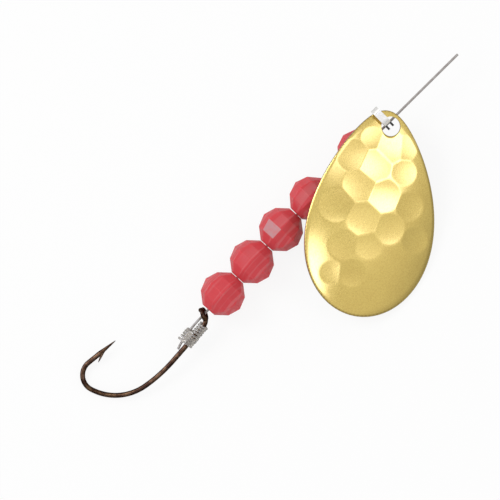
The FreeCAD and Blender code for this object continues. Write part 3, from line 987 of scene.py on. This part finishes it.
@dataclass
class Stage:
    """Pale floor, soft studio light, and the camera."""

    look_at: Point = (0.975 * MM, 6.259 * MM, 2.963 * MM)
    lean: float = math.radians(12.0)
    swing: float = math.radians(47.84)
    field: float = 65.2 * MM
    lens: float = 600.0
    sensor: float = 36.0
    floor_half: float = 1.5
    floor_drop: float = 0.03 * MM
    floor_colour: Point = (0.86, 0.86, 0.86)
    floor_white: tuple[float, float] = (0.88, 0.95)
    light_level: float = 0.75
    room_level: float = 0.74
    room_level_low: float = 0.3
    room_band: tuple[float, float] = (0.1, 0.6)
    soft_boxes: tuple[tuple[Point, float, float, float], ...] = (
        ((0.38, -0.40, 0.83), math.radians(4), math.radians(14), 2.3),
        ((0.20, -0.44, 0.88), math.radians(6), math.radians(22), 0.35),
        ((-0.44, -0.22, 0.87), math.radians(5), math.radians(13), 3.0),
        ((0.16, 0.02, 0.98), math.radians(3), math.radians(11), 1.6),
        ((-0.42, 0.88, 0.22), math.radians(8), math.radians(26), 4.0),
    )
    soft_box_colour: Point = (0.92, 0.97, 1.36)
    floor_in_metal: float = 0.42

    def axes(self) -> tuple[Vector, Vector, Vector]:
        """Right, up and back directions of the camera."""
        first = Vector((1, 0, 0))
        second = Vector((0, math.cos(self.lean), math.sin(self.lean)))
        right = math.cos(self.swing) * first - math.sin(self.swing) * second
        up = math.sin(self.swing) * first + math.cos(self.swing) * second
        return right, up, right.cross(up)

    def camera(self) -> bpy.types.Object:
        """Long-lens camera that looks down on the rig and leans towards -Y."""
        right, up, back = self.axes()
        data = bpy.data.cameras.new("camera")
        data.lens = self.lens
        data.sensor_width = self.sensor
        data.clip_start = 0.01
        data.clip_end = 10
        camera = bpy.data.objects.new("camera", data)
        place = Vector(self.look_at) + back * (self.field * self.lens / self.sensor)
        camera.matrix_world = Matrix((
            (right.x, up.x, back.x, place.x), (right.y, up.y, back.y, place.y),
            (right.z, up.z, back.z, place.z), (0, 0, 0, 1)))
        bpy.context.scene.collection.objects.link(camera)
        bpy.context.scene.camera = camera
        return camera

    def floor(self) -> bpy.types.Object:
        """Wide pale floor just under the rig."""
        half, low = self.floor_half, -self.floor_drop
        points = np.array([[-half, -half, low], [half, -half, low], [half, half, low], [-half, half, low]])
        mesh = bpy.data.meshes.new("floor")
        mesh.from_pydata(points.tolist(), [], [[0, 1, 2, 3]])
        floor = bpy.data.objects.new("floor", mesh)
        bpy.context.scene.collection.objects.link(floor)
        material = bpy.data.materials.new("pale_floor")
        material.use_nodes = True
        tree = material.node_tree
        shader = tree.nodes["Principled BSDF"]
        shader.inputs["Base Color"].default_value = (*self.floor_colour, 1)
        shader.inputs["Roughness"].default_value = 0.9
        shader.inputs["Specular IOR Level"].default_value = 0.1
        white = tree.nodes.new("ShaderNodeEmission")
        in_metal = tree.nodes.new("ShaderNodeLightPath").outputs["Is Glossy Ray"]
        tree.links.new(self.choose(tree, in_metal, 1.0, self.floor_in_metal), white.inputs["Strength"])
        mix = tree.nodes.new("ShaderNodeMixShader")
        share = Finish.maths(tree, "MULTIPLY", self.seen_rays(tree), self.choose(tree, in_metal, *self.floor_white))
        tree.links.new(share, mix.inputs[0])
        tree.links.new(shader.outputs[0], mix.inputs[1])
        tree.links.new(white.outputs[0], mix.inputs[2])
        tree.links.new(mix.outputs[0], tree.nodes["Material Output"].inputs["Surface"])
        mesh.materials.append(material)
        return floor

    @staticmethod
    def seen_rays(tree: bpy.types.NodeTree) -> bpy.types.NodeSocket:
        """1 for rays that show a background: camera, glossy and transmission rays."""
        path = tree.nodes.new("ShaderNodeLightPath")
        value = path.outputs["Is Camera Ray"]
        for name in ("Is Glossy Ray", "Is Transmission Ray"):
            value = Finish.maths(tree, "MAXIMUM", value, path.outputs[name])
        return value

    def world(self) -> None:
        """Even grey sky for light, with soft boxes that show only in polished surfaces."""
        world = bpy.data.worlds.new("studio")
        bpy.context.scene.world = world
        world.use_nodes = True
        tree = world.node_tree
        background = tree.nodes["Background"]
        source = tree.nodes.new("ShaderNodeTexCoord").outputs["Generated"]
        height = tree.nodes.new("ShaderNodeSeparateXYZ")
        tree.links.new(source, height.inputs[0])
        room = Finish.spread(tree, height.outputs["Z"], *self.room_band, self.room_level_low, self.room_level)
        lobes = []
        for direction, narrow, wide, level in self.soft_boxes:
            dot = tree.nodes.new("ShaderNodeVectorMath")
            dot.operation = "DOT_PRODUCT"
            dot.inputs[1].default_value = Vector(direction).normalized()
            tree.links.new(source, dot.inputs[0])
            lobes.append(Finish.spread(tree, dot.outputs["Value"], math.cos(wide), math.cos(narrow), 0.0, level))
        boxes = lobes[0]
        for lobe in lobes[1:]:
            boxes = Finish.maths(tree, "ADD", boxes, lobe)
        room = Finish.maths(tree, "ADD", room, boxes)
        path = tree.nodes.new("ShaderNodeLightPath")
        lit = Finish.spread(tree, boxes, 0.0, 1.0, 0.0, 1.0)
        cool = Finish.maths(tree, "MULTIPLY", lit, path.outputs["Is Glossy Ray"])
        tree.links.new(Finish.blend(tree, cool, (1, 1, 1), self.soft_box_colour), background.inputs["Color"])
        strength = self.choose(tree, path.outputs["Is Glossy Ray"], self.light_level, room)
        behind = Finish.maths(tree, "MAXIMUM", path.outputs["Is Camera Ray"], path.outputs["Is Transmission Ray"])
        shown = self.choose(tree, behind, strength, 1.0)
        tree.links.new(shown, background.inputs["Strength"])

    @staticmethod
    def choose(tree: bpy.types.NodeTree, share: bpy.types.NodeSocket, first: float | bpy.types.NodeSocket,
               second: float | bpy.types.NodeSocket) -> bpy.types.NodeSocket:
        """Number between two, by a share from 0 to 1."""
        mix = tree.nodes.new("ShaderNodeMix")
        tree.links.new(share, mix.inputs[0])
        for socket, value in ((mix.inputs[2], first), (mix.inputs[3], second)):
            if isinstance(value, (int, float)):
                socket.default_value = value
            else:
                tree.links.new(value, socket)
        return mix.outputs[0]

    @staticmethod
    def lamp(name: str, place: Point, aim: Point, size: float, power: float, mirrored: bool) -> None:
        """Square soft light at a place, turned to its aim.

        Args:
            name: name of the light.
            place: where it hangs.
            aim: what it points at.
            size: side of the square.
            power: power in watts.
            mirrored: whether polished metal shows it.
        """
        data = bpy.data.lights.new(name, "AREA")
        data.size = size
        data.energy = power
        light = bpy.data.objects.new(name, data)
        light.visible_glossy = mirrored
        light.location = place
        light.rotation_euler = (Vector(aim) - Vector(place)).to_track_quat("-Z", "Y").to_euler()
        bpy.context.scene.collection.objects.link(light)

    def build(self) -> None:
        """Camera, floor, sky and two soft lights."""
        self.camera()
        self.floor()
        self.world()
        self.lamp("key", (-0.10, 0.34, 0.42), self.look_at, size=0.26, power=1.0, mirrored=True)
        self.lamp("fill", (0.30, -0.30, 0.40), self.look_at, size=0.40, power=0.25, mirrored=False)
        bpy.context.scene.view_settings.view_transform = "Standard"


# ---------------------------------------------------------------- assembly


@dataclass
class SpinnerRig:
    """The whole rig: the line and what is on it."""

    def build(self) -> None:
        """Build every sub-assembly in its finish."""
        line = ClearNylon("clear_nylon", (0.40, 0.36, 0.34), clearness=0.2, sheen_colour=(0.55, 0.52, 0.50))
        wound = ClearNylon("wound_nylon", (0.82, 0.78, 0.72), clearness=0.8, sheen_colour=(0.80, 0.77, 0.73))
        hook = Hook()
        whipping = Snell(hook).build(wound)
        Leader().build(line, [whipping])
        hook.build(BronzedWire("bronzed_wire", (0.036, 0.016, 0.009)))
        BeadRow().build(ClearRed("clear_red", (0.66, 0.074, 0.088)))
        blade = Blade()
        blade.build(HammeredGold("hammered_gold", (0.88, 0.665, 0.18), grain_turn=blade.heading))
        Clevis().build(BrightNickel("bright_nickel", (0.93, 0.92, 0.90)))


def main() -> None:
    """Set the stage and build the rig."""
    logging.basicConfig(level=logging.INFO, format="%(name)s %(message)s")
    Stage().build()
    SpinnerRig().build()


if __name__ == "__main__":
    main()
